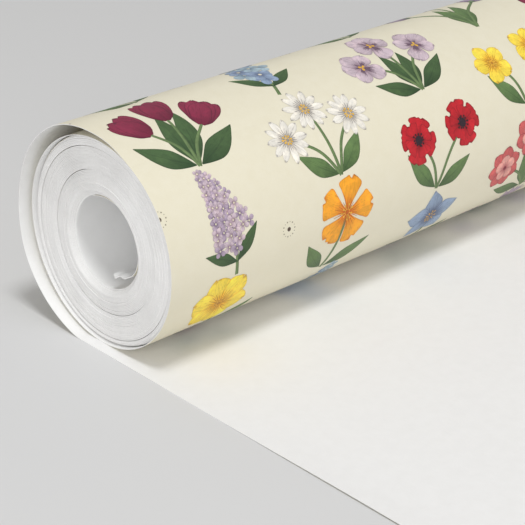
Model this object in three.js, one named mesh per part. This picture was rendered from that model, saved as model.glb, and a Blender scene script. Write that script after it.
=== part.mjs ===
// Coreless roll of gift-wrapping paper, partly unrolled.
//
// Millimetres. +X runs along the roll's axis, +Z is up, and the laid-out paper runs towards -Y.
// The origin is on the surface that the paper lies on, under the roll's axis, at mid-width.
//
// The paper is one web. From its leading edge it lies flat, white back up, passes under the
// coil, stands slack behind it as the last turn, comes down on the coil's top, and from there
// is wound inwards to a free end in the bore. Each stretch that moves on its own is a solid.

import {
  BoxGeometry, ExtrudeGeometry, Group, LatheGeometry, MathUtils, Mesh, MeshStandardMaterial,
  Shape, SplineCurve, Vector2,
} from 'three';

// Driving dimensions
const PAPER_WIDTH = 500;        // along the roll
const LAID_LENGTH = 340;        // from the roll's line of contact to the leading edge
const COIL_RADIUS = 32;         // outside of the printed turn
const BORE_RADIUS = 14.2;
const COIL_SHIFT = 4.7;         // along +X, how far the packs are wound off the laid paper's line
const PRINTED_SHIFT = 3.7;      // the same, for the printed turn
const WEB = 0.5;                // thickness of the solids that stand for one layer of paper
const SHEET = 0.3;              // thickness of the laid sheet's solid
const GAP = 0.3;                // clearance between neighbouring solids
const FACETS = 64;              // flats round the coil

// The packs of turns meet where their edges show as rings in the end face.
const OUTER_PACK_INSIDE = 0.93 * COIL_RADIUS;
const MIDDLE_PACK_INSIDE = 0.69 * COIL_RADIUS;

const AXIS_HEIGHT = SHEET + GAP + COIL_RADIUS;
const HEEL = 8;                 // the sheet stays flat this far past the line of contact

// Cross-sections as [angle in degrees, distance from the axis of the outside of the web].
// Angles turn from +Y, behind the roll, up towards +Z; the web winds inwards as they grow.
const LOOSE_TURN_SECTION = [
  [-72, 1.044], [-45, 1.058], [-15, 1.066], [15, 1.072],
  [45, 1.106], [68, 1.126], [86, 1.086], [100, 1.046],
].map(([angle, ratio]) => [angle, ratio * COIL_RADIUS]);

const INNER_END_SECTION = [
  [196, 0.975], [212, 0.955], [232, 0.87], [249, 0.83],
].map(([angle, ratio]) => [angle, ratio * BORE_RADIUS]);

const CREAM = 0xece6cd;
const WHITE = 0xebe9e6;

function polar(angle, radius) {
  const turn = MathUtils.degToRad(angle);
  return new Vector2(radius * Math.cos(turn), radius * Math.sin(turn));
}

// The closed outline of one layer of paper whose outside passes through the section's points.
function webOutline(section, steps) {
  const outside = new SplineCurve(section.map(([angle, radius]) => polar(angle, radius)));
  const inside = new SplineCurve(section.map(([angle, radius]) => polar(angle, radius - WEB)));
  return new Shape([...outside.getPoints(steps), ...inside.getPoints(steps).reverse()]);
}

function paperMesh(name, geometry, color) {
  const material = new MeshStandardMaterial({ color, roughness: 0.75, metalness: 0 });
  const mesh = new Mesh(geometry, material);
  mesh.name = name;
  return mesh;
}

// One layer of paper, PAPER_WIDTH long and centred. The outline's plane becomes the YZ plane.
function webMesh(name, section, steps, color) {
  const geometry = new ExtrudeGeometry(webOutline(section, steps), {
    depth: PAPER_WIDTH,
    bevelEnabled: false,
  });
  geometry.translate(0, 0, -PAPER_WIDTH / 2);
  const mesh = paperMesh(name, geometry, color);
  mesh.rotation.set(Math.PI / 2, Math.PI / 2, 0);
  return mesh;
}

// A pack of turns: a tube round the X axis, PAPER_WIDTH long and centred.
function packMesh(name, inside, outside, color) {
  const half = PAPER_WIDTH / 2;
  const profile = [
    new Vector2(inside, -half),
    new Vector2(outside, -half),
    new Vector2(outside, half),
    new Vector2(inside, half),
    new Vector2(inside, -half),
  ];
  const mesh = paperMesh(name, new LatheGeometry(profile, FACETS), color);
  mesh.rotation.z = -Math.PI / 2;
  return mesh;
}

// The flat stretch, from the leading edge to a little behind the line of contact.
function laidSheet() {
  const geometry = new BoxGeometry(PAPER_WIDTH, LAID_LENGTH + HEEL, SHEET);
  const mesh = paperMesh('laid_sheet', geometry, WHITE);
  mesh.position.set(0, (HEEL - LAID_LENGTH) / 2, SHEET / 2);
  return mesh;
}

const roll = new Group();
roll.add(laidSheet());

const rollingPart = new Group();
rollingPart.position.z = AXIS_HEIGHT;
roll.add(rollingPart);
rollingPart.add(webMesh('loose_turn', LOOSE_TURN_SECTION, 36, CREAM));

const printedTurn = packMesh('printed_turn', COIL_RADIUS - WEB, COIL_RADIUS, CREAM);
printedTurn.position.x = PRINTED_SHIFT;
rollingPart.add(printedTurn);

const coil = new Group();
coil.position.x = COIL_SHIFT;
rollingPart.add(coil);
coil.add(packMesh('outer_turns', OUTER_PACK_INSIDE, COIL_RADIUS - WEB - GAP, WHITE));
coil.add(packMesh('middle_turns', MIDDLE_PACK_INSIDE, OUTER_PACK_INSIDE - GAP, WHITE));
coil.add(packMesh('inner_turns', BORE_RADIUS, MIDDLE_PACK_INSIDE - GAP, WHITE));
coil.add(webMesh('inner_end', INNER_END_SECTION, 12, WHITE));

export default roll;
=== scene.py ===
import math
import random

import bmesh
import bpy
import numpy as np
from mathutils import Matrix, Vector


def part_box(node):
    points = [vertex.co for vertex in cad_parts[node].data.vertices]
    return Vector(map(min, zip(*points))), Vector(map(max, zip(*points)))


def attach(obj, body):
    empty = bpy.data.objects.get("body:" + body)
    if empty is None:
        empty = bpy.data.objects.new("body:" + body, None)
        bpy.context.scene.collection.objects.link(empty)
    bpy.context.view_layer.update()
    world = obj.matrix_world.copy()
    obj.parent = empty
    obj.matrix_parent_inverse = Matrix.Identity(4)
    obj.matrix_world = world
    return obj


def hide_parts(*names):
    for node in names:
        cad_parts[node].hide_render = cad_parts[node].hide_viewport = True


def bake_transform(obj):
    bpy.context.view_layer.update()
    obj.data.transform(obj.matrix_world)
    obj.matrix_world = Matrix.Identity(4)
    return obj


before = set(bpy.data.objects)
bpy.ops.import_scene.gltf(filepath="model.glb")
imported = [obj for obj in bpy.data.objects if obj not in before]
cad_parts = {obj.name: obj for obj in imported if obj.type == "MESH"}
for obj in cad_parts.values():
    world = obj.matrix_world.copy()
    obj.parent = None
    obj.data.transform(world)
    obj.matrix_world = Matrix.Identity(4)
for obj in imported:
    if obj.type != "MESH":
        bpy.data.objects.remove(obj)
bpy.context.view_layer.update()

# ---------------------------------------------------------------- sizes, in millimetres
MM = 0.001


def box_mm(node):
    low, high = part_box(node)
    return low / MM, high / MM


sheet_low, sheet_high = box_mm("laid_sheet")
printed_low, printed_high = box_mm("printed_turn")
pack_low, pack_high = box_mm("outer_turns")

PAPER = 0.2                                       # one layer, about twice a real sheet's thickness
FLOOR_CLEARANCE = 0.02
AXIS_HEIGHT = (printed_low.z + printed_high.z) / 2
HALF_WIDTH = (sheet_high.x - sheet_low.x) / 2
LEADING_EDGE = sheet_low.y
PRINT_RADIUS = AXIS_HEIGHT - PAPER - FLOOR_CLEARANCE
PACK_RADIUS = PRINT_RADIUS - 2 * PAPER
PRINTED_SHIFT = (printed_low.x + printed_high.x) / 2
COIL_SHIFT = (pack_low.x + pack_high.x) / 2
SEAM_ANGLE = 118                                  # where the slack turn lies down on the coil
SEAM_EDGE = 0.012                                 # the paper thins to this there, so that no step shows
PAPER_BACK, PAPER_PRINT, PAPER_EDGE = 0, 1, 2     # material slots of a sheet of paper

# ---------------------------------------------------------------- camera
CAMERA_FROM_NEAR_END = Vector((-277.2, -362.6, 250.1))
CAMERA_YAW = math.radians(43.25)
CAMERA_PITCH = math.radians(26.19)
CAMERA_ROLL = math.radians(0.68)
CAMERA_LENS = 119.5


def make_camera():
    data = bpy.data.cameras.new("camera")
    data.lens = CAMERA_LENS
    data.sensor_width = 36
    data.clip_start, data.clip_end = 0.01, 100
    camera = bpy.data.objects.new("camera", data)
    bpy.context.scene.collection.objects.link(camera)
    place = CAMERA_FROM_NEAR_END + Vector((pack_low.x, 0, 0))
    camera.matrix_world = (
        Matrix.Translation(place * MM)
        @ Matrix.Rotation(-CAMERA_YAW, 4, "Z")
        @ Matrix.Rotation(math.pi / 2 - CAMERA_PITCH, 4, "X")
        @ Matrix.Rotation(CAMERA_ROLL, 4, "Z")
    )
    bpy.context.scene.camera = camera


make_camera()


# ---------------------------------------------------------------- materials
class Nodes:
    """A new material's node tree, with short ways to add to it."""

    def __init__(self, name):
        self.material = bpy.data.materials.new(name)
        self.material.use_nodes = True
        self.tree = self.material.node_tree
        self.shader = self.tree.nodes["Principled BSDF"]
        self.points = self.add("ShaderNodeTexCoord").outputs["Object"]

    def add(self, kind, **settings):
        node = self.tree.nodes.new(kind)
        for key, value in settings.items():
            setattr(node, key, value)
        return node

    def join(self, source, target):
        self.tree.links.new(source, target)

    def noise(self, scale, detail=4, roughness=0.5, stretch=(1, 1, 1), points=None):
        mapping = self.add("ShaderNodeMapping")
        mapping.inputs["Scale"].default_value = stretch
        self.join(points or self.points, mapping.inputs["Vector"])
        noise = self.add("ShaderNodeTexNoise")
        noise.inputs["Scale"].default_value = scale
        noise.inputs["Detail"].default_value = detail
        noise.inputs["Roughness"].default_value = roughness
        self.join(mapping.outputs["Vector"], noise.inputs["Vector"])
        return noise.outputs["Fac"]

    def ramp(self, source, *stops):
        ramp = self.add("ShaderNodeValToRGB")
        elements = ramp.color_ramp.elements
        while len(elements) < len(stops):
            elements.new(0.5)
        for element, (place, color) in zip(elements, stops):
            element.position = place
            element.color = (*color, 1) if hasattr(color, "__len__") else (color,) * 3 + (1,)
        self.join(source, ramp.inputs["Fac"])
        return ramp.outputs["Color"]

    def mix(self, kind, amount, a, b):
        mix = self.add("ShaderNodeMix", data_type="RGBA", blend_type=kind)
        mix.inputs["Factor"].default_value = 0.5
        for socket, value in ((mix.inputs["Factor"], amount), (mix.inputs["A"], a), (mix.inputs["B"], b)):
            self.set(socket, value)
        return mix.outputs["Result"]

    def set(self, socket, value):
        if isinstance(value, bpy.types.NodeSocket):
            self.join(value, socket)
        elif hasattr(value, "__len__") and len(value) == 3:
            socket.default_value = (*value, 1)
        else:
            socket.default_value = value

    def bump(self, *heights):
        """Each height is (source, distance in metres, strength)."""
        normal = None
        for source, distance, strength in heights:
            bump = self.add("ShaderNodeBump")
            bump.inputs["Distance"].default_value = distance
            bump.inputs["Strength"].default_value = strength
            self.join(source, bump.inputs["Height"])
            if normal:
                self.join(normal, bump.inputs["Normal"])
            normal = bump.outputs["Normal"]
        self.join(normal, self.shader.inputs["Normal"])


def paper_material(name, light, dark, roughness, gloss=0.4, fibre=0.3):
    """Paper: cloudy formation, short fibres that lie every way, and a fine tooth."""
    n = Nodes(name)
    clouds = n.noise(260, detail=5, roughness=0.6)
    fibres = n.noise(1500, detail=3, roughness=0.65, stretch=(1, 0.35, 1))
    tooth = n.noise(6000, detail=2)
    tone = n.mix("MIX", 0.35, clouds, fibres)
    n.join(n.ramp(tone, (0.32, dark), (0.62, light)), n.shader.inputs["Base Color"])
    n.join(n.ramp(clouds, (0.3, roughness - 0.07), (0.7, roughness + 0.07)), n.shader.inputs["Roughness"])
    n.shader.inputs["Specular IOR Level"].default_value = gloss
    n.bump((fibres, 0.00004, fibre), (tooth, 0.00001, fibre))
    return n.material


def edge_material():
    """The cut edges of the turns: white, a little greyer in streaks that run round the coil."""
    n = Nodes("turn_edges")
    clouds = n.noise(90, detail=4)
    grain = n.noise(2600, detail=2, stretch=(0.2, 1, 1))
    tone = n.mix("MIX", 0.4, clouds, grain)
    color = n.ramp(tone, (0.3, (0.765, 0.757, 0.747)), (0.65, (0.86, 0.852, 0.842)))
    n.join(color, n.shader.inputs["Base Color"])
    n.shader.inputs["Roughness"].default_value = 0.82
    n.shader.inputs["Specular IOR Level"].default_value = 0.25
    n.bump((grain, 0.00005, 0.35))
    return n.material


def ink_material():
    """Printed ink: the motif's colour, washed and streaked along each petal, leaf and stem."""
    n = Nodes("print_ink")
    color = n.add("ShaderNodeAttribute", attribute_name="ink").outputs["Color"]
    along = n.add("ShaderNodeAttribute", attribute_name="grain").outputs["Vector"]
    streaks = n.noise(1.0, detail=3, roughness=0.6, stretch=(5.5, 0.35, 1), points=along)
    wash = n.noise(420, detail=4, roughness=0.65)
    deep = n.mix("MULTIPLY", 1.0, color, (0.58, 0.55, 0.56))
    pale = n.mix("MULTIPLY", 1.0, color, (1.3, 1.26, 1.2))
    streaked = n.mix("MIX", n.ramp(streaks, (0.50, 0.0), (0.68, 0.75)), color, deep)
    washed = n.mix("MIX", n.ramp(wash, (0.48, 0.0), (0.72, 0.9)), streaked, pale)
    n.join(washed, n.shader.inputs["Base Color"])
    n.join(n.ramp(wash, (0.3, 0.42), (0.7, 0.58)), n.shader.inputs["Roughness"])
    n.shader.inputs["Specular IOR Level"].default_value = 0.45
    n.bump((n.noise(1500, detail=3, stretch=(1, 0.35, 1)), 0.00004, 0.25))
    return n.material


WHITE_BACK = paper_material("paper_back", (0.88, 0.877, 0.87), (0.855, 0.851, 0.843), 0.72, fibre=0.2)
CREAM_PRINT = paper_material("paper_print", (0.815, 0.768, 0.612), (0.795, 0.744, 0.578), 0.46,
                             gloss=0.5, fibre=0.2)
TURN_EDGES = edge_material()
PAPER_MATERIALS = [WHITE_BACK, CREAM_PRINT, TURN_EDGES]
INK = ink_material()


# ---------------------------------------------------------------- meshes
def add_mesh(name, points, faces, materials, slots=None, smooth=True):
    """points in millimetres."""
    mesh = bpy.data.meshes.new(name)
    mesh.from_pydata((np.asarray(points) * MM).tolist(), [], faces)
    for material in materials:
        mesh.materials.append(material)
    if slots is not None:
        mesh.polygons.foreach_set("material_index", np.asarray(slots, np.int32))
    mesh.polygons.foreach_set("use_smooth", np.full(len(mesh.polygons), smooth))
    mesh.update()
    piece = bpy.data.objects.new(name, mesh)
    bpy.context.scene.collection.objects.link(piece)
    return piece


def sharpen(piece, angle=40):
    """Marks the edges where faces meet at more than the angle, so that they shade sharp."""
    piece.data.set_sharp_from_angle(angle=math.radians(angle))


def grid_faces(rows, columns, close_rows=False, start=0):
    """Quads over a rows x columns grid of points; close_rows joins the last row to the first."""
    faces = []
    for i in range(rows if close_rows else rows - 1):
        a, b = start + i * columns, start + ((i + 1) % rows) * columns
        faces += [(a + j, a + j + 1, b + j + 1, b + j) for j in range(columns - 1)]
    return faces


def two_sided(tall, wide):
    """Faces and material slots of a sheet: a printed grid, the same grid behind it, and the rim between."""
    count = tall * wide
    front = grid_faces(tall, wide)
    faces = front + [tuple(count + v for v in reversed(face)) for face in front]
    slots = [PAPER_PRINT] * len(front) + [PAPER_BACK] * len(front)
    rim = (
        list(range(wide))
        + [i * wide + wide - 1 for i in range(1, tall)]
        + [(tall - 1) * wide + j for j in range(wide - 2, -1, -1)]
        + [i * wide for i in range(tall - 2, 0, -1)]
    )
    for a, b in zip(rim, rim[1:] + rim[:1]):
        faces.append((b, a, count + a, count + b))
        slots.append(PAPER_EDGE)
    return faces, slots


def smooth_through(pairs, at):
    """A smooth curve through (place, value) pairs, by cubic Hermite pieces."""
    x, y = np.array(pairs, float).T
    slope = np.gradient(y, x)
    at = np.clip(at, x[0], x[-1])
    k = np.clip(np.searchsorted(x, at) - 1, 0, len(x) - 2)
    h = x[k + 1] - x[k]
    t = (at - x[k]) / h
    return (
        (2 * t**3 - 3 * t**2 + 1) * y[k]
        + (t**3 - 2 * t**2 + t) * h * slope[k]
        + (3 * t**2 - 2 * t**3) * y[k + 1]
        + (t**3 - t**2) * h * slope[k + 1]
    )


def ease(x):
    x = np.clip(x, 0, 1)
    return x * x * (3 - 2 * x)


def ripple(a, b, seed, waves=6):
    """A smooth, repeatable unevenness between -1 and 1 over two coordinates in radians."""
    draw = random.Random(seed)
    total = 0
    for _ in range(waves):
        total = total + np.sin(a * draw.uniform(0.5, 2.5) + b * draw.uniform(-2, 2) + draw.uniform(0, 6.28))
    return total / waves


# ---------------------------------------------------------------- the path of the web
# How far the slack turn's outside stands off the axis, as [angle, multiple of the pack's radius].
# Angles turn from +Y, behind the roll, up towards +Z.
SLACK_TURN = [
    (-79, 1.043), (-64, 1.050), (-45, 1.066), (-22, 1.080), (0, 1.066), (18, 1.070), (36, 1.100),
    (54, 1.119), (70, 1.134), (80, 1.113), (90, 1.076), (101, 1.044), (110, 1.025),
    (SEAM_ANGLE, (PRINT_RADIUS + 0.015) / PACK_RADIUS),
]


class Web:
    """The outside of the web, from the leading edge (distance 0) to the seam on the coil."""

    def __init__(self):
        angles = np.radians(np.arange(SLACK_TURN[0][0], SEAM_ANGLE + 0.01, 0.25))
        radius = smooth_through(SLACK_TURN, np.degrees(angles)) * PACK_RADIUS
        y, z = radius * np.cos(angles), AXIS_HEIGHT + radius * np.sin(angles)
        flat = np.arange(LEADING_EDGE, y[0] - 0.4, 0.25)
        y = np.concatenate([flat, y])
        z = np.concatenate([np.full(len(flat), FLOOR_CLEARANCE), np.maximum(z, FLOOR_CLEARANCE)])
        kernel = np.hanning(27)[1:-1]
        kernel /= kernel.sum()
        pad = len(kernel) // 2
        for _ in range(2):
            y[pad:-pad] = np.convolve(y, kernel, "valid")
            z[pad:-pad] = np.convolve(z, kernel, "valid")
        step = np.hypot(np.diff(y), np.diff(z))
        self.distance = np.concatenate([[0], np.cumsum(step)])
        self.length = self.distance[-1]
        self.y, self.z = y, z
        self.ny, self.nz = self.normals()
        self.seam_print = math.radians(SEAM_ANGLE - 90) * PRINT_RADIUS

    def normals(self):
        ty, tz = np.gradient(self.y), np.gradient(self.z)
        size = np.hypot(ty, tz)
        return tz / size, -ty / size

    def at(self, distance):
        """y, z and the outward normal at a distance along the web."""
        return [np.interp(distance, self.distance, v) for v in (self.y, self.z, self.ny, self.nz)]

    def shift(self, distance):
        """The web drifts sideways as it comes down on the coil."""
        y, z, _, _ = self.at(distance)
        turned = np.degrees(np.arctan2(z - AXIS_HEIGHT, y))
        drift = ease((turned - 58) / 44) * (distance > self.length / 2)
        return PRINTED_SHIFT * drift


web = Web()

CURL_LENGTH = 55      # the leading edge curls up over this length
EDGE_CURL = 5.0       # about this high
SIDE_WIDTH = 7        # a strip this wide along each side of the laid sheet rises
SIDE_LIFT = 0.45      # this high at its edge
CURVED_LENGTH = 150   # the last stretch of the web, which has the bends in it


def sheet_unevenness(distance, x):
    """How far the paper stands up: the curl it keeps at its leading edge, and its side edges."""
    curl = EDGE_CURL * ease(1 - distance / CURL_LENGTH) ** 1.6 * (1 + 0.25 * np.cos(x / 95 + 0.6))
    side = SIDE_LIFT * ease(1 - (HALF_WIDTH - np.abs(x)) / SIDE_WIDTH) * ease((290 - distance) / 60)
    return curl + side


def web_place(distance, x, height):
    """Points of the web: x is across it, height is outwards from its print side."""
    y, z, ny, nz = web.at(distance)
    away = 0.05 * ripple(distance / 14, x / 40, 3) * ease((distance - web.length / 2) / 60)
    away = away * ease((web.length - distance) / 25)
    height = height + away
    shifted = x + web.shift(distance)
    return np.stack([shifted, y + ny * height, z + nz * height + sheet_unevenness(distance, x)], -1)


def build_web():
    """The laid stretch and the slack turn, one closed sheet of paper."""
    flat_end = web.length - CURVED_LENGTH
    rows = np.concatenate([
        [0, 0.6], np.arange(3, flat_end, 4.0), np.arange(flat_end, web.length - 0.3, 1.0), [web.length],
    ])
    columns = np.linspace(-HALF_WIDTH, HALF_WIDTH, 101)
    columns = np.concatenate([
        [columns[0], columns[0] + 0.3], columns[1:-1], [columns[-1] - 0.3, columns[-1]],
    ])
    distance, x = np.meshgrid(rows, columns, indexing="ij")
    thickness = PAPER - (PAPER - SEAM_EDGE) * ease((distance - web.length + 6) / 6)
    outside = web_place(distance, x, 0 * x).reshape(-1, 3)
    inside = web_place(distance, x, -thickness).reshape(-1, 3)
    faces, slots = two_sided(len(rows), len(columns))
    piece = add_mesh("paper_web", np.concatenate([outside, inside]), faces, PAPER_MATERIALS, slots)
    sharpen(piece)
    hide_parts("laid_sheet", "loose_turn")
    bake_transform(piece)


# ---------------------------------------------------------------- the coil
def ring_mesh(name, inside, outside, ends, rows=240):
    """A tube wall: one turn of paper round the coil, print outside and white inside."""
    angles = np.linspace(0, 2 * math.pi, rows, endpoint=False)
    low, high = ends
    spans = np.linspace(low, high, 61)
    spans = np.concatenate([[low, low + 0.3], spans[1:-1], [high - 0.3, high]])
    points = []
    wide = len(spans)
    for radius in (outside, inside):
        a, x = np.meshgrid(angles, spans, indexing="ij")
        y, z = radius * np.cos(a), AXIS_HEIGHT + radius * np.sin(a)
        points.append(np.stack([x, y, z], -1).reshape(-1, 3))
    count = rows * wide
    outer = grid_faces(rows, wide, close_rows=True)
    faces = outer + [tuple(count + v for v in reversed(face)) for face in outer]
    slots = [PAPER_PRINT] * len(outer) + [PAPER_BACK] * len(outer)
    for i in range(rows):
        a, b = i * wide, ((i + 1) % rows) * wide
        faces.append((a, b, count + b, count + a))
        faces.append((b + wide - 1, a + wide - 1, count + a + wide - 1, count + b + wide - 1))
        slots += [PAPER_EDGE, PAPER_EDGE]
    piece = add_mesh(name, np.concatenate(points), faces, PAPER_MATERIALS, slots)
    sharpen(piece)
    return piece


def off_centre(angle, centre_y, centre_z, radius):
    """The distance from the coil's axis to a circle that isn't centred on it."""
    along = centre_y * np.cos(angle) + centre_z * np.sin(angle)
    aside = centre_y * np.sin(angle) - centre_z * np.cos(angle)
    return along + np.sqrt(radius**2 - aside**2)


# The lines between the packs, as circles (centre y, centre z, radius) in multiples of the pack's radius.
PACK_LINES = {
    "outside": (0, 0, 1),
    "outer_line": (0.015, -0.03, 0.925),
    "middle_line": (-0.004, -0.012, 0.695),
    "bore": (0.004, -0.016, 0.446),
}
TURN_PITCH = 0.43
GROOVE_DEPTH = 0.12
LINE_GAP = 0.28       # at its widest, low on the back of the coil; the line closes on the other side
PRINT_ROOM = 0.2      # a pack's outer wall is this much lower than its edge, behind the first millimetre


def line_gap(angle):
    return 0.02 + (LINE_GAP - 0.02) * (0.5 + 0.5 * np.cos(angle + 0.35))


def pack_mesh(name, inner_line, outer_line, seed):
    """A pack of turns: each turn's cut edge stands at its own height, with a groove beside it."""
    angles = np.linspace(0, 2 * math.pi, 200, endpoint=False)
    lines = [off_centre(angles, *PACK_LINES[line]) * PACK_RADIUS for line in (inner_line, outer_line)]
    inner = lines[0]
    outer = lines[1] - (line_gap(angles) if outer_line != "outside" else 0)
    turns = round(float(np.mean(outer - inner)) / TURN_PITCH)
    draw = random.Random(seed)
    grooves = [GROOVE_DEPTH + (draw.random() < 0.22) * draw.uniform(0.1, 0.3) for _ in range(turns)]
    profile = []                                  # (share of the pack's thickness, depth, turn)
    for turn in range(turns):
        for share, depth in ((0.07, 0.04), (0.18, 0.0), (0.82, 0.0), (0.93, 0.04), (1.0, grooves[turn])):
            profile.append(((turn + share) / turns, depth, turn))
    profile = [(0.0, GROOVE_DEPTH, 0)] + profile[:-1] + [(1.0, GROOVE_DEPTH, turns - 1)]
    heights = [
        draw.gauss(0, 0.035) + (draw.random() < 0.14) * draw.uniform(-0.12, 0.1) for _ in range(turns)
    ]
    phases = [draw.uniform(0, 6.28) for _ in range(turns)]
    funnel = 1.7 if inner_line == "bore" else 0.25
    shoulder = 1.1 if outer_line == "outside" else 0.4
    loops = []
    wall = np.linspace(pack_low.x + 3, pack_high.x - 3, 24)
    print_wall = np.concatenate([[pack_low.x + 0.9], wall, [pack_high.x - 0.9]])
    for end, sign in ((pack_low.x, 1), (pack_high.x, -1)):
        side = []
        for share, depth, turn in profile:
            radius = inner + (outer - inner) * share
            rounded = shoulder * share**6 + funnel * (1 - ease(share / 0.34)) ** 2
            swell = 0.22 * np.sin(angles - 0.9 + 0.4 * share)
            swell = swell + 0.10 * np.sin(2 * angles + phases[turn] * 0.15)
            wander = 0.035 * np.sin(3 * angles + phases[turn])
            x = end + sign * (0.25 + depth + heights[turn] + rounded + wander) + swell
            side.append((x, radius))
        if sign > 0:
            loops += side
            loops += [(np.full(len(angles), x), outer - PRINT_ROOM) for x in print_wall]
        else:
            loops += side[::-1]
            loops += [(np.full(len(angles), x), inner) for x in wall[::-1]]
    points = np.stack([
        np.stack([x, radius * np.cos(angles), AXIS_HEIGHT + radius * np.sin(angles)], -1)
        for x, radius in loops
    ])
    rows, columns, _ = points.shape
    faces = []
    for i in range(rows):
        k = (i + 1) % rows
        for j in range(columns):
            m = (j + 1) % columns
            faces.append((i * columns + j, k * columns + j, k * columns + m, i * columns + m))
    # A pack's outer wall is print, its inner wall is the paper's back and its two ends are cut edges.
    slot_of_row = []
    for i in range(rows):
        in_outer_wall = len(profile) - 1 < i < len(profile) + len(print_wall) - 1
        in_inner_wall = i > 2 * len(profile) + len(print_wall) - 1
        slot_of_row.append(PAPER_PRINT if in_outer_wall else PAPER_BACK if in_inner_wall else PAPER_EDGE)
    slots = np.repeat(slot_of_row, columns)
    piece = add_mesh(name, points.reshape(-1, 3), faces, PAPER_MATERIALS, slots)
    sharpen(piece, 50)
    return piece


# The free inner end: it lies on the bore's wall, leaves it low on the front side and ends in the air.
# As [angle, multiple of the pack's radius] of its outer side.
INNER_END = [
    (60, 0.426), (75, 0.424), (110, 0.428), (150, 0.437), (185, 0.441), (205, 0.438), (216, 0.426),
    (228, 0.391), (239, 0.364), (249, 0.352),
]


def build_inner_end():
    """The inner end flap: crinkled near the bore's mouth, thinned where it leaves the wall."""
    degrees = np.concatenate([np.arange(60, 205, 2.0), np.arange(205, 249.1, 1.0)])
    radius = smooth_through(INNER_END, degrees) * PACK_RADIUS
    spans = np.concatenate([
        [0, 0.3], np.arange(2, 80, 2.0), np.linspace(80, 420, 35), np.arange(422, 494, 4.0), [495.7, 496],
    ])
    angle, span = np.meshgrid(np.radians(degrees), spans, indexing="ij")
    loose = ease((np.degrees(angle) - 200) / 49)
    wave = loose * (0.55 * np.sin(span / 8.5 + 1.1) + 0.5 * np.sin(span / 2.3 + 0.6) * np.exp(-span / 30))
    crinkle = loose * np.sin(np.degrees(angle) / 2.6) * np.exp(-span / 7)
    base = radius[:, None] - wave - 0.35 * crinkle
    x = pack_low.x + 2.3 + span - 1.6 * loose * ease(1 - span / 20) + 0.4 * np.sin(angle * 3)
    x = x + 0.4 * crinkle
    thickness = PAPER * (0.25 + 0.75 * ease((np.degrees(angle) - 60) / 4))

    def surface(r):
        return np.stack([x, r * np.cos(angle), AXIS_HEIGHT + r * np.sin(angle)], -1).reshape(-1, 3)

    points = np.concatenate([surface(base), surface(base - thickness)])
    faces, slots = two_sided(*angle.shape)
    piece = add_mesh("inner_end_flap", points, faces, PAPER_MATERIALS, slots)
    sharpen(piece)
    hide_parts("inner_end")
    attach(piece, "inner_pack")


def build_coil():
    ends = (printed_low.x, printed_high.x)
    turn = ring_mesh("printed_turn_paper", PRINT_RADIUS - PAPER, PRINT_RADIUS, ends)
    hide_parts("printed_turn")
    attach(turn, "coil")
    for name, inner_line, outer_line, body, node, seed in (
        ("outer_turns_wound", "outer_line", "outside", "coil", "outer_turns", 11),
        ("middle_turns_wound", "middle_line", "outer_line", "middle_pack", "middle_turns", 23),
        ("inner_turns_wound", "bore", "middle_line", "inner_pack", "inner_turns", 37),
    ):
        pack = pack_mesh(name, inner_line, outer_line, seed)
        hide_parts(node)
        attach(pack, body)


build_web()
build_coil()
build_inner_end()


# ---------------------------------------------------------------- the printed pattern
# The pattern is drawn flat, in millimetres: x across the paper and q along it, growing down the
# front of the roll from 0 at the top of the coil. It repeats in both directions.
REPEAT_X = 180
REPEAT_Q = 98
COLUMNS, ROWS = 4, 3                              # of motifs in one repeat
FIRST_LIFT, LAYER_LIFT = 0.02, 0.007              # the ink above the paper, and each layer above the last
CELL = 1.15                                       # the mesh's step along the print
EDGE_ROOM = 0.15                                  # the print stops this far from the paper's sides
FULL_WIDTH = (EDGE_ROOM - HALF_WIDTH, HALF_WIDTH - EDGE_ROOM)
SLACK_PRINT = 116                                 # the length of web before the seam that is printed
COIL_PRINT_ANGLE = 40                             # the coil's print meets itself behind the slack turn
BARED_FROM, BARED_TO = 235.5, 249                 # the part of a pack's side that telescoping can bare


def rgb(red, green, blue):
    """A colour given in screen values, 0 to 255, as linear light."""
    values = np.array([red, green, blue]) / 255
    return np.where(values < 0.04045, values / 12.92, ((values + 0.055) / 1.055) ** 2.4)


LEAF = (rgb(70, 96, 56), rgb(98, 126, 76), rgb(50, 74, 44))
DARK_LEAF = (rgb(46, 74, 42), rgb(70, 98, 58), rgb(34, 54, 34))
GREY_LEAF = (rgb(92, 116, 88), rgb(122, 144, 108), rgb(68, 90, 68))
STEM = rgb(104, 128, 82)
SEPIA = rgb(84, 70, 60)

# How wide a petal is along its length, as (share of the length, share of half the width).
OUTLINES = {
    "round": [
        (0, 0.10), (0.2, 0.42), (0.45, 0.86), (0.65, 1.0),
        (0.82, 0.90), (0.92, 0.68), (0.97, 0.44), (1, 0.08),
    ],
    "pointed": [(0, 0.12), (0.2, 0.60), (0.45, 1.0), (0.7, 0.82), (0.9, 0.36), (1, 0.04)],
    "leaf": [(0, 0.05), (0.15, 0.48), (0.4, 1.0), (0.65, 0.84), (0.88, 0.34), (1, 0.03)],
    "fan": [(0, 0.06), (0.3, 0.36), (0.6, 0.80), (0.82, 1.0), (0.92, 0.92), (0.97, 0.72), (1, 0.36)],
    "cup": [(0, 0.35), (0.2, 0.85), (0.45, 1.0), (0.75, 0.92), (0.9, 0.68), (0.96, 0.46), (1, 0.10)],
}


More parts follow.
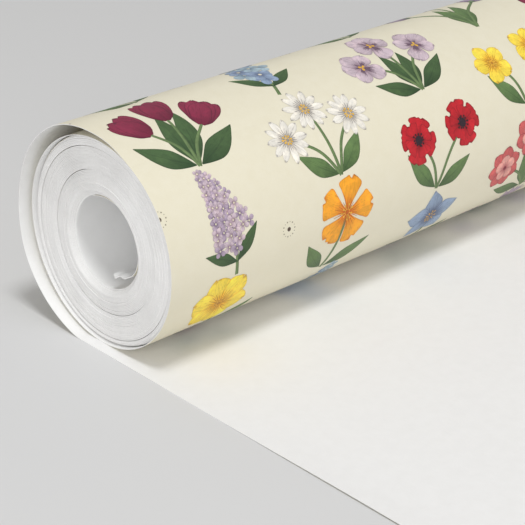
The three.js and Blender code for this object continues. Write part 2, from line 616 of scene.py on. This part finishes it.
class Print:
    """One group of motifs, drawn as thin sheets of ink that lie on each other in layers."""

    def __init__(self, seed):
        self.draw = random.Random(seed)
        self.points, self.faces, self.ink, self.grain = [], [], [], []
        self.count = 0
        self.on_layer(0)
        self.at(0, 0)

    def at(self, x, q, turn=0, size=1.0):
        """Later shapes are drawn from this point, turned by degrees and sized; up is towards -q."""
        self.origin, self.size = (x, q), size
        self.turn = math.radians(turn)

    def on_layer(self, layer, rise=1):
        """Later shapes start on this layer and each lies this many layers above the one before."""
        self.layer, self.rise = layer, rise

    def branch(self, end, turn, draw, **settings):
        """Another drawing, with its own origin at a point of this one."""
        origin, old_turn = self.origin, self.turn
        c, s = math.cos(self.turn) * self.size, math.sin(self.turn) * self.size
        self.origin = (origin[0] + c * end[0] - s * end[1], origin[1] - (s * end[0] + c * end[1]))
        self.turn += math.radians(turn)
        draw(self, **settings)
        self.origin, self.turn = origin, old_turn

    def near(self, value, spread):
        """A random value at most the spread away."""
        return value + self.draw.uniform(-spread, spread)

    def add(self, x, y, ink, grain):
        """A grid of points: x and y as the motif is drawn, with a colour and a place in the grain each."""
        x, y = x * self.size, y * self.size
        c, s = math.cos(self.turn), math.sin(self.turn)
        px = self.origin[0] + c * x - s * y
        pq = self.origin[1] - (s * x + c * y)
        lift = FIRST_LIFT + LAYER_LIFT * self.layer
        self.layer += self.rise
        rows, columns = x.shape
        self.faces += grid_faces(rows, columns, start=self.count)
        self.points.append(np.stack([px, pq, np.full_like(px, lift)], -1).reshape(-1, 3))
        self.ink.append(np.broadcast_to(ink, (*x.shape, 3)).reshape(-1, 3))
        self.grain.append(grain.reshape(-1, 3))
        self.count += rows * columns

    def petal(self, base, angle, length, width, inks, outline="round", bend=0.0, ruffle=0.0,
              notch=0.0, line=0.45, vein=0.0):
        """inks are the colours at the base, in the body and of the drawn edge.

        Angles are in degrees from +x; bend is in radians."""
        angle = math.radians(self.near(angle, 2))
        length, width = self.near(length, 0.03 * length), self.near(width, 0.04 * width)
        rows = max(5, int(length * self.size / CELL) + 2)
        v = np.concatenate([np.linspace(0, 0.90, rows), [0.94, 0.97, 0.99, 1.0]])
        side = np.linspace(0, 0.88, max(2, int(width * self.size / 2 / CELL) + 2))
        side = np.concatenate([[0, 0.07], side[1:], [1.0]])
        u = np.concatenate([-side[:0:-1], side])
        v, u = np.meshgrid(v, u, indexing="ij")
        shape = np.array(OUTLINES[outline])
        half = width / 2 * smooth_through(shape, v)
        phase = self.draw.uniform(0, 6.28)
        half = half * (1 + ruffle * np.sin(9 * v + phase) * v)
        end = ruffle * 0.7 * np.sin(5.5 * u + phase) - notch * (1 - u * u) ** 2
        reach = length * v * (1 + v**3 * end)
        reach = reach - length * 0.12 * (2 * half / width * u) ** 2 * v**4
        heading = angle + bend * v
        x = base[0] + reach * np.cos((angle + heading) / 2) - half * u * np.sin(heading)
        y = base[1] + reach * np.sin((angle + heading) / 2) + half * u * np.cos(heading)
        root, body, edge = (np.asarray(c) for c in inks)
        tone = 1 + self.draw.uniform(-0.07, 0.07)
        blend = ease(v * 1.6)[..., None]
        ink = root * (1 - blend) + body * blend
        shade = 1 + 0.10 * u[..., None] * math.copysign(1, math.cos(angle) + 0.3)
        ink = ink * shade * tone
        rim = np.maximum(ease((np.abs(u) - 0.86) / 0.1), ease((v - 0.95) / 0.04))[..., None]
        ink = ink * (1 - line * rim) + edge * line * rim
        if vein:
            mid = ((1 - np.minimum(np.abs(u) / 0.08, 1)) * (1 - v))[..., None]
            ink = ink * (1 - vein * mid) + edge * vein * mid
        seed = self.draw.uniform(0, 900)
        grain = np.stack([half * u * self.size + seed, reach * self.size, np.full_like(u, seed)], -1)
        self.add(x, y, np.clip(ink, 0, 1), grain)

    def leaf(self, base, angle, length, width, inks, bend=0.0):
        self.petal(base, angle, length, width, inks, "leaf", bend, line=0.55, vein=0.8)

    def stem(self, path, start=0.9, end=0.6, ink=STEM):
        """A drawn line through the points, darker along one side."""
        path = np.array(path, float)
        run = np.concatenate([[0], np.cumsum(np.hypot(*np.diff(path, axis=0).T))])
        at = np.linspace(0, run[-1], max(4, int(run[-1] * self.size / CELL) + 2))
        x, y = (smooth_through(np.stack([run, path[:, k]], -1), at) for k in (0, 1))
        dx, dy = np.gradient(x), np.gradient(y)
        size = np.hypot(dx, dy)
        half = np.linspace(start, end, len(at)) / 2
        u = np.array([-1.0, 0.2, 1.0])
        px = x[:, None] - (dy / size * half)[:, None] * u
        py = y[:, None] + (dx / size * half)[:, None] * u
        shade = np.array([0.68, 1.12, 0.92])[None, :, None]
        color = np.clip(np.asarray(ink) * shade * np.ones((len(at), 3, 1)), 0, 1)
        seed = self.draw.uniform(0, 900)
        along = np.broadcast_to(at[:, None], px.shape)
        across = np.broadcast_to(u * 0.4 + seed, px.shape)
        grain = np.stack([across, along, np.full_like(px, seed)], -1)
        self.add(px, py, color, grain)

    def dot(self, centre, radius, ink=SEPIA):
        """A small round spot."""
        turn = np.linspace(0, 2 * math.pi, 11)
        r = np.array([0.02, 0.6, 1.0]) * radius
        x = centre[0] + r[:, None] * np.cos(turn)
        y = centre[1] + r[:, None] * np.sin(turn)
        color = np.asarray(ink) * np.array([1.0, 1.0, 0.86])[:, None, None] * np.ones((3, 11, 1))
        self.add(x, y, color, np.stack([x, y, x * 0], -1))

    def stamens(self, centre, count, length, ink, tip):
        """Short lines out of a point, each with a dot on its end."""
        self.on_layer(self.layer, 0)
        for i in range(count):
            angle = math.radians(360 * i / count + self.near(0, 9))
            reach = self.near(length, length * 0.2)
            end = (centre[0] + reach * math.cos(angle), centre[1] + reach * math.sin(angle))
            self.stem([centre, end], 0.28, 0.2, ink)
            self.layer += 1
            self.dot(end, 0.32, tip)
            self.layer -= 1
        self.on_layer(self.layer + 2)


def toward(angle, length):
    """The point at a distance from the origin, the angle in degrees from +x."""
    return np.array([math.cos(math.radians(angle)), math.sin(math.radians(angle))]) * length


def whorl(art, centre, count, length, width, inks, start=90, **shape):
    """Petals all round a point."""
    order = sorted(range(count), key=lambda i: (i * 2) % count)
    for i in order:
        art.petal(centre, start + 360 * i / count + art.near(0, 4), length, width, inks, **shape)


def draw_open(art, inks, petals=5, radius=10.0, width=0.85, outline="round"):
    """A flower seen from the front: even petals, fine lines out of its eye, and stamens."""
    whorl(art, (0, 0), petals, radius, radius * width, inks,
          outline=outline, ruffle=0.06, notch=0.04, vein=0.5, line=0.6)
    art.on_layer(art.layer, 0)
    for i in range(25):
        angle = 360 * i / 25
        reach = radius * art.near(0.44, 0.1)
        art.stem([toward(angle, 1), toward(angle, reach)], 0.28, 0.1, inks[2])
    art.on_layer(art.layer + 1)
    art.stamens((0, 0), 9, radius * 0.2, GOLD, GOLD)
    art.dot((0, 0), radius * 0.07, inks[2])


def draw_double(art, inks, inner, radius=6.8):
    """Two rings of petals, the inner one paler."""
    whorl(art, (0, 0), 7, radius, radius * 0.74, inks, ruffle=0.06, vein=0.7, line=0.7)
    whorl(art, (0, 0), 5, radius * 0.64, radius * 0.56, inner, start=54, ruffle=0.05, vein=0.5, line=0.7)
    art.dot((0, 0), radius * 0.1, inks[0])


def draw_cup(art, inks, height=11.0, width=10.0, spread=24):
    """A closed bloom seen from the side."""
    for side, share in ((1, 0.48), (-1, 0.48), (0.4, 0.60), (-0.4, 0.60), (0, 0.62)):
        art.petal((0, 0), 90 + spread * side, height * (1 if side else 0.9), width * share, inks, "cup",
                  ruffle=0.03, vein=0.4, line=0.7)


def draw_bell(art, inks, height=8.5):
    """A narrow open bloom seen from the side."""
    for angle, width in ((128, 0.30), (56, 0.30), (108, 0.36), (74, 0.36), (91, 0.34)):
        art.petal((0, 0), angle, height, height * width, inks, "pointed", vein=0.7, ruffle=0.05)
    art.leaf((0, -0.5), 90, 3.2, 1.8, GREY_LEAF)


def draw_pansy(art, inks, radius=6.8):
    """Two petals behind, two at the sides and one in front, with drawn lines and an eye."""
    for angle, length, width in (
        (122, 1.0, 0.96), (60, 1.0, 0.96), (184, 0.94, 0.80), (356, 0.94, 0.80), (268, 1.08, 0.98),
    ):
        art.petal((0, 0), angle, radius * length, radius * width, inks,
                  ruffle=0.05, notch=0.05, vein=0.4, line=0.5)
    art.on_layer(art.layer, 0)
    for angle in [*range(166, 206, 7), *range(246, 296, 6), *range(-22, 18, 7), 64, 74, 110, 120]:
        reach = radius * art.near(0.55 if 240 < angle < 300 else 0.44, 0.1)
        art.stem([toward(angle, 0.1 * radius), toward(angle, reach)], 0.38, 0.1, inks[2])
    art.on_layer(art.layer + 1)
    whorl(art, (0, 0), 3, radius * 0.19, radius * 0.13, (GOLD, GOLD, rgb(180, 110, 40)))


def draw_poppy(art, inks, radius=7.0):
    """Four broad petals, four smaller ones on them and a dark heart."""
    for share, start in ((1.0, 45), (0.74, 90)):
        whorl(art, (0, 0), 4, radius * share, radius * share * 1.12, inks, start,
              outline="fan", ruffle=0.04, notch=0.03, vein=0.5, line=0.7)
    art.dot((0, 0), radius * 0.2, rgb(44, 30, 40))
    art.on_layer(art.layer + 1)
    art.stamens((0, 0), 12, radius * 0.27, rgb(52, 36, 46), rgb(38, 28, 36))


def draw_spike(art, inks, florets, petals, size, spread):
    """A tall stem with small florets in a spiral round it, closer together towards its tip."""
    art.stem([(-1, -15), (0.6, -4), (0, 13)], 1.1, 0.5)
    for angle in (38, 146):
        art.leaf((-0.3, -11), angle, 12, 3.6, DARK_LEAF)
    base = art.layer
    for i in range(florets):
        along = i / (florets - 1)
        out = spread * (1 - 0.85 * along) * math.sqrt((i * 0.618) % 1)
        place = (out * math.cos(2.4 * i), -6 + 21 * along + 0.5 * out * math.sin(2.4 * i))
        art.on_layer(base + 2 * (i % 6), 0)
        reach = size * (1 - 0.35 * along)
        ink = inks[i % len(inks)]
        whorl(art, place, petals, reach, reach * 0.75, ink, art.near(45, 40), vein=0.5)
        art.layer += 1
        art.dot(place, size * 0.13, rgb(226, 218, 190))


def draw_posy(art, blooms, leaves=(30, 150), leaf_length=15, leaf_inks=LEAF):
    """Stems and leaves that fan out of one foot; each bloom is (angle, stem, draw, its settings)."""
    foot = np.array([0.0, -13.0])
    for angle in leaves:
        art.leaf(foot + toward(angle, 1), angle, art.near(leaf_length, 1.5), leaf_length * 0.34, leaf_inks,
                 bend=math.copysign(0.3, 90 - angle))
    art.on_layer(art.layer, 0)
    for angle, length, *_ in blooms:
        bow = 90 + 0.7 * (angle - 90)
        art.stem([foot, foot + toward(bow, 0.5 * length), foot + toward(angle, length)], 1.1, 0.8)
    level = art.layer + 1
    for angle, length, draw, settings in blooms:
        art.on_layer(level)
        art.branch(foot + toward(angle, length), angle - 90 + art.near(0, 8), draw, **settings)


def draw_rosette(art):
    """A ring of dots round a spot."""
    art.dot((0, 0), 0.7, SEPIA)
    art.on_layer(0, 0)
    for i in range(14):
        art.dot(toward(360 * i / 14, 2.3), 0.15 if i % 2 else 0.24, rgb(150, 142, 122))


def fan(draw, *stems, **settings):
    """The same bloom on several stems, given as (angle, length)."""
    return [(angle, length, draw, settings) for angle, length in stems]


def spot(column, row, turn=0, size=1.1):
    """A place in the half-drop layout: every other column starts half a step lower."""
    drop = 0.25 + 0.5 * (column % 2)
    return (column + 0.5) * REPEAT_X / COLUMNS, (row + drop) * REPEAT_Q / ROWS, turn, size


def single(draw, *places, **settings):
    """A motif drawn at each place, given as (x, q, turn, size)."""
    def paint(art):
        for x, q, turn, size in places:
            art.on_layer(0)
            art.at(x, q, turn, size)
            draw(art, **settings)
    return paint


GOLD = rgb(232, 184, 70)
# Inks, as the colours at a petal's base, in its body and of its drawn edge.
BLUE = (rgb(92, 104, 136), rgb(146, 166, 194), rgb(84, 100, 134))
SKY = (rgb(110, 134, 156), rgb(168, 190, 202), rgb(92, 114, 140))
YELLOW = (rgb(238, 172, 40), rgb(255, 226, 78), rgb(194, 132, 38))
ORANGE = (rgb(226, 120, 24), rgb(246, 168, 40), rgb(196, 96, 20))
RED = (rgb(112, 16, 28), rgb(190, 30, 42), rgb(92, 14, 26))
WINE = (rgb(116, 26, 58), rgb(140, 40, 72), rgb(66, 14, 40))
ROSE = (rgb(176, 86, 96), rgb(234, 168, 158), rgb(146, 78, 82))
CORAL = (rgb(132, 40, 56), rgb(206, 96, 96), rgb(118, 40, 52))
LILAC = (rgb(112, 94, 120), rgb(182, 164, 184), rgb(98, 82, 106))
MAUVE = (rgb(134, 106, 124), rgb(206, 188, 198), rgb(110, 88, 106))
WHITE = (rgb(196, 186, 170), rgb(240, 236, 226), rgb(150, 146, 146))

# Stems of a posy, as (angle, length).
ONE = ((90, 19),)
TWO = ((64, 21), (122, 17))
THREE = ((50, 19), (90, 21), (130, 19))
LOW_THREE = ((58, 15), (90, 17), (122, 15))
ROSETTES = ((45, 49, 0, 1), (45, 82, 0, 1), (135, 82, 0, 1), (0, 33, 0, 1), (90, 82, 0, 1))

MOTIFS = [
    ("larkspur", [
        single(draw_spike, spot(1, 2, -10), inks=(BLUE, SKY), florets=14, petals=5, size=4.0, spread=6.5),
    ]),
    ("buttercups", [
        single(draw_posy, spot(0, 2, 14), blooms=fan(draw_open, *ONE, inks=YELLOW, petals=6)),
        single(draw_posy, spot(3, 0, -8), blooms=fan(draw_open, *TWO, inks=YELLOW, radius=7.0)),
    ]),
    ("lilac", [
        single(draw_spike, spot(0, 1, 12), inks=(LILAC, MAUVE), florets=70, petals=4, size=2.1, spread=8.0),
    ]),
    ("pansies", [
        single(draw_posy, spot(2, 0, 6), blooms=fan(draw_pansy, *THREE, inks=MAUVE),
               leaves=(20, 70, 110, 160), leaf_inks=DARK_LEAF),
    ]),
    ("anemones", [
        single(draw_posy, spot(3, 1, 10), blooms=fan(draw_double, *THREE, inks=CORAL, inner=ROSE),
               leaves=(16, 72, 108, 164)),
    ]),
    ("nasturtium", [
        single(draw_posy, spot(1, 1, -14), blooms=fan(draw_open, *ONE, inks=ORANGE, outline="fan")),
    ]),
    ("tulips", [
        single(draw_posy, spot(0, 0, -6), blooms=fan(draw_cup, *LOW_THREE, inks=WINE),
               leaves=(24, 74, 106, 156), leaf_length=18, leaf_inks=DARK_LEAF),
    ]),
    ("poppies", [
        single(draw_posy, spot(2, 1, -12), blooms=fan(draw_poppy, *TWO, inks=RED)),
    ]),
    ("small_flowers", [
        single(draw_posy, spot(2, 2, 8),
               blooms=fan(draw_open, *ONE, inks=BLUE, outline="pointed", width=0.7)),
        single(draw_posy, spot(3, 2, -6), blooms=fan(draw_bell, *THREE, inks=LILAC), leaves=(70, 110)),
        single(draw_posy, spot(1, 0, 4),
               blooms=fan(draw_open, *THREE, inks=WHITE, petals=11, radius=6.8, width=0.36)),
        single(draw_rosette, *ROSETTES),
    ]),
]


def cut_flat(piece, low, high):
    """Cuts a flat drawing to the box between two corners, x and q in metres."""
    drawing = bmesh.new()
    drawing.from_mesh(piece.data)
    for axis in (0, 1):
        for value, sign in ((low[axis], -1), (high[axis], 1)):
            place, normal = [0, 0, 0], [0, 0, 0]
            place[axis], normal[axis] = value, sign
            bmesh.ops.bisect_plane(
                drawing, geom=drawing.verts[:] + drawing.edges[:] + drawing.faces[:],
                plane_co=place, plane_no=normal, clear_outer=True, dist=1e-8,
            )
    drawing.to_mesh(piece.data)
    drawing.free()


def wrap_on_web(x, q, lift):
    """Flat places of the print, put on the outer side of the slack turn."""
    distance = web.length - (web.seam_print - q)
    return web_place(distance, x, lift)


def wrap_on_coil(x, q, lift):
    """Flat places of the print, put on the coil."""
    angle = math.pi / 2 + q / PRINT_RADIUS
    radius = PRINT_RADIUS + lift
    return np.stack([x + PRINTED_SHIFT, radius * np.cos(angle), AXIS_HEIGHT + radius * np.sin(angle)], -1)


def wrap_on_pack(line):
    """Flat places of the print, put on the outside of a pack, which shows when the pack is drawn out."""
    def wrap(x, q, lift):
        angle = math.pi / 2 + q / (PACK_LINES[line][2] * PACK_RADIUS)
        radius = off_centre(angle, *PACK_LINES[line]) * PACK_RADIUS - line_gap(angle) - PRINT_ROOM + lift
        return np.stack([x + COIL_SHIFT, radius * np.cos(angle), AXIS_HEIGHT + radius * np.sin(angle)], -1)
    return wrap


def print_piece(art, name, q_range, wrap, body, x_range=FULL_WIDTH):
    """Repeats a drawing over a stretch of the web, cuts it to that stretch and wraps it on."""
    flat, inks, grains = (np.concatenate(part) for part in (art.points, art.ink, art.grain))
    quads = np.array(art.faces)
    points, faces, ink, grain = [], [], [], []
    count = 0
    for i in range(-1, 4):
        for k in range(-3, 4):
            x, q = flat[:, 0] + i * REPEAT_X - HALF_WIDTH, flat[:, 1] + k * REPEAT_Q
            inside = (x > x_range[0]) & (x < x_range[1]) & (q > q_range[0]) & (q < q_range[1])
            keep = quads[inside[quads].any(1)]
            if len(keep):
                used, index = np.unique(keep, return_inverse=True)
                points.append(np.stack([x, q, flat[:, 2]], -1)[used])
                faces += (index.reshape(keep.shape) + count).tolist()
                ink.append(inks[used])
                grain.append(grains[used])
                count += len(used)
    piece = add_mesh(name, np.concatenate(points), faces, [INK])
    mesh = piece.data
    colors = mesh.attributes.new("ink", "FLOAT_COLOR", "POINT")
    colors.data.foreach_set("color", np.c_[np.concatenate(ink), np.ones(count)].astype(np.float32).ravel())
    places = mesh.attributes.new("grain", "FLOAT_VECTOR", "POINT")
    places.data.foreach_set("vector", np.concatenate(grain).astype(np.float32).ravel())
    cut_flat(piece, (x_range[0] * MM, q_range[0] * MM), (x_range[1] * MM, q_range[1] * MM))
    spots = np.empty(len(mesh.vertices) * 3, np.float32)
    mesh.vertices.foreach_get("co", spots)
    x, q, lift = spots.reshape(-1, 3).astype(float).T / MM
    mesh.vertices.foreach_set("co", (wrap(x, q, lift) * MM).astype(np.float32).ravel())
    mesh.polygons.foreach_set("use_smooth", np.full(len(mesh.polygons), True))
    mesh.update()
    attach(piece, body)


def draw_all(motifs, seed):
    """One flat drawing of all these motifs."""
    art = Print(seed)
    for _, painters in motifs:
        for paint in painters:
            art.on_layer(0)
            paint(art)
    return art


def build_print():
    coil_start = math.radians(COIL_PRINT_ANGLE - 90) * PRINT_RADIUS
    coil = (coil_start, coil_start + 2 * math.pi * PRINT_RADIUS)
    slack = (web.seam_print - SLACK_PRINT, web.seam_print)
    for seed, motif in enumerate(MOTIFS):
        art = draw_all([motif], 100 + seed)
        print_piece(art, f"{motif[0]}_on_coil", coil, wrap_on_coil, "coil")
        print_piece(art, f"{motif[0]}_on_slack_turn", slack, wrap_on_web, "slack_turn")
    art = draw_all(MOTIFS, 100)
    for body, line in (("middle_pack", "outer_line"), ("inner_pack", "middle_line")):
        wrap = wrap_on_pack(line)
        around = (coil_start, coil_start + 2 * math.pi * PACK_LINES[line][2] * PACK_RADIUS)
        for end, x_range in (("near", (-BARED_TO, -BARED_FROM)), ("far", (BARED_FROM, BARED_TO))):
            print_piece(art, f"{body}_print_{end}", around, wrap, body, x_range)


build_print()


# ---------------------------------------------------------------- floor and light
def build_stage():
    mesh = bpy.data.meshes.new("floor")
    size = 12
    corners = [(-size, -size, 0), (size, -size, 0), (size, size, 0), (-size, size, 0)]
    mesh.from_pydata(corners, [], [(0, 1, 2, 3)])
    floor = bpy.data.objects.new("floor", mesh)
    bpy.context.scene.collection.objects.link(floor)
    n = Nodes("floor")
    n.shader.inputs["Base Color"].default_value = (0.69, 0.69, 0.69, 1)
    n.shader.inputs["Roughness"].default_value = 0.9
    n.shader.inputs["Specular IOR Level"].default_value = 0.1
    mesh.materials.append(n.material)


def area_light(name, place, target, size, power):
    data = bpy.data.lights.new(name, "AREA")
    data.shape = "DISK"
    data.size, data.energy = size, power
    data.color = (0.985, 0.995, 1.0)
    light = bpy.data.objects.new(name, data)
    light.location = place
    light.rotation_euler = (Vector(target) - Vector(place)).to_track_quat("-Z", "Y").to_euler()
    bpy.context.scene.collection.objects.link(light)


def light_scene():
    world = bpy.data.worlds.new("studio")
    world.use_nodes = True
    background = world.node_tree.nodes["Background"]
    background.inputs["Color"].default_value = (1.0, 0.985, 0.97, 1)
    background.inputs["Strength"].default_value = 0.42
    bpy.context.scene.world = world
    area_light("key", (-0.45, -0.55, 2.0), (-0.1, 0, 0), 0.55, 18)
    area_light("fill", (-1.4, -0.9, 0.5), (-0.2, 0, 0), 1.0, 10.3)
    bpy.context.scene.view_settings.view_transform = "Standard"


build_stage()
light_scene()
